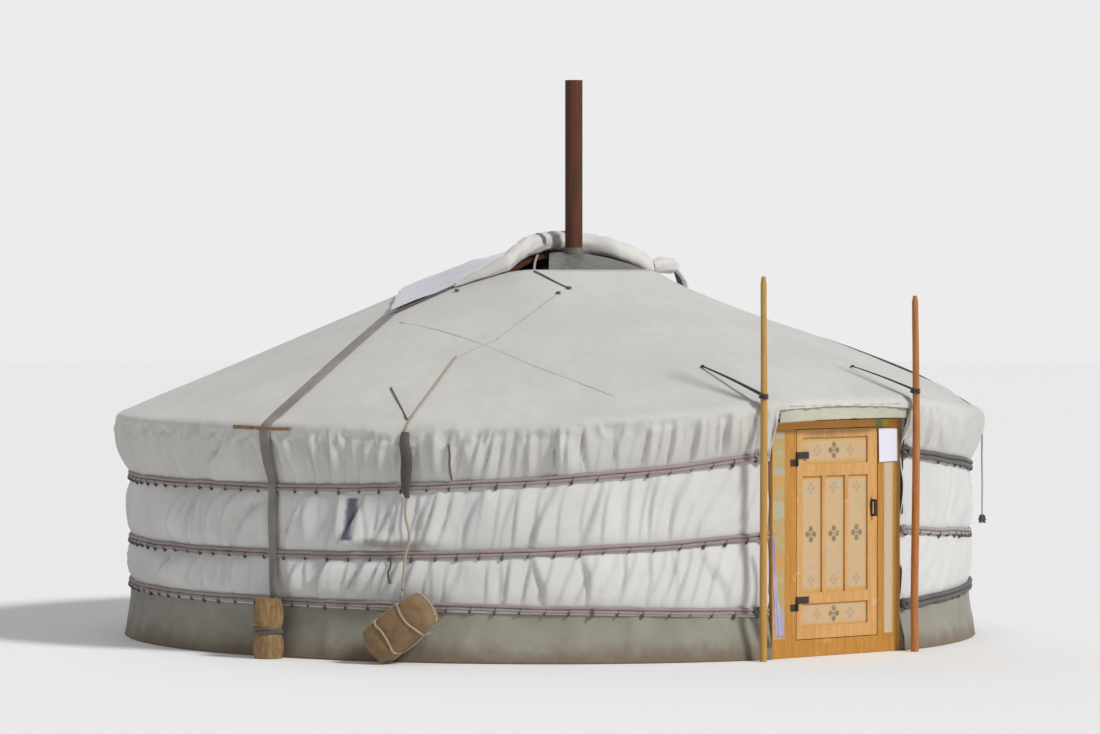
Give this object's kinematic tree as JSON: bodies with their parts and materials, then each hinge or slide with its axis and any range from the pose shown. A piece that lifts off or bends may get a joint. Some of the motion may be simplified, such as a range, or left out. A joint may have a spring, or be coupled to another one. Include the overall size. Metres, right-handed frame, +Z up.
{
  "type": "yurt, a felt ger with a hinged wooden door",
  "caption": "Round felt tent with lattice walls, roof poles, a spoked crown, canvas covers and girth ropes, a hinged wooden door and a stove pipe.",
  "frame": {"origin": "on the ground, in the middle of the round floor", "axes": "+Z up; -Y towards the door; +X to the right of someone who faces the door from outside"},
  "size_m": [6.063, 6.0243, 3.81],
  "materials": {
    "lattice_wood": "orange-brown stained slats",
    "pole_wood": "orange-brown stained roof poles and crown",
    "felt": "thick grey-white wool felt",
    "roof_cloth": "off-white cotton canvas, weathered",
    "wall_cloth": "white cotton canvas, weathered",
    "skirt_cloth": "grey skirt cloth, dirty at the ground",
    "cover_cloth": "pale violet-white cloth",
    "hair_rope": "flat grey-mauve hair rope",
    "dark_strap": "dark flat strap",
    "light_rope": "light thin rope",
    "door_wood": "ochre painted wood, worn",
    "panel_wood": "pale buff painted panels with faded ornament",
    "weathered_pole": "weathered ochre pole",
    "stump_wood": "weathered grey-tan log",
    "bundle_cloth": "hay-brown sacking",
    "pipe_steel": "rusted sheet steel",
    "plate_steel": "dull grey sheet steel",
    "hinge_steel": "dark iron fittings"
  },
  "bodies": {
    "ger": {"lattice_wall_1": "lattice_wood", "lattice_wall_2": "lattice_wood", "lattice_wall_3": "lattice_wood", "lattice_wall_4": "lattice_wood", "lattice_wall_5": "lattice_wood", "wall_felt_left": "felt", "roof_felt_left": "felt", "skirt_left": "skirt_cloth", "wall_felt_rear": "felt", "roof_felt_rear": "felt", "skirt_rear": "skirt_cloth", "wall_felt_right": "felt", "roof_felt_right": "felt", "skirt_right": "skirt_cloth", "wall_canvas": "wall_cloth", "roof_canvas": "roof_cloth", "roof_poles": "pole_wood", "crown_ring": "pole_wood", "crown_spokes": "pole_wood", "crown_posts": "pole_wood", "flue_plate": "plate_steel", "flue_pipe": "pipe_steel", "crown_cover": "cover_cloth", "girth_rope_upper": "hair_rope", "girth_rope_middle": "hair_rope", "girth_rope_lower": "hair_rope", "tie_ropes": "dark_strap", "tie_stake": "stump_wood", "eave_stick": "weathered_pole", "ballast_bundle": "bundle_cloth", "ballast_rope": "light_rope", "hanging_strap": "dark_strap", "door_poles": "weathered_pole", "pole_straps": "dark_strap", "door_jamb_left": "door_wood", "door_jamb_right": "door_wood", "jamb_boards": "panel_wood", "door_lintel": "door_wood", "door_threshold": "door_wood", "lintel_cloth": "cover_cloth", "door_hinge_posts": "hinge_steel"},
    "door": {"door_leaf": "door_wood", "door_panels": "panel_wood", "door_handle": "hinge_steel", "door_hinge_straps": "hinge_steel"}
  },
  "joints": [
    {"name": "door_hinge", "type": "hinge", "parent": "ger", "child": "door", "pos_m": [-0.3625, -2.859, 0.35], "axis": [0, 0, -1], "range_deg": [0, 110]}
  ]
}
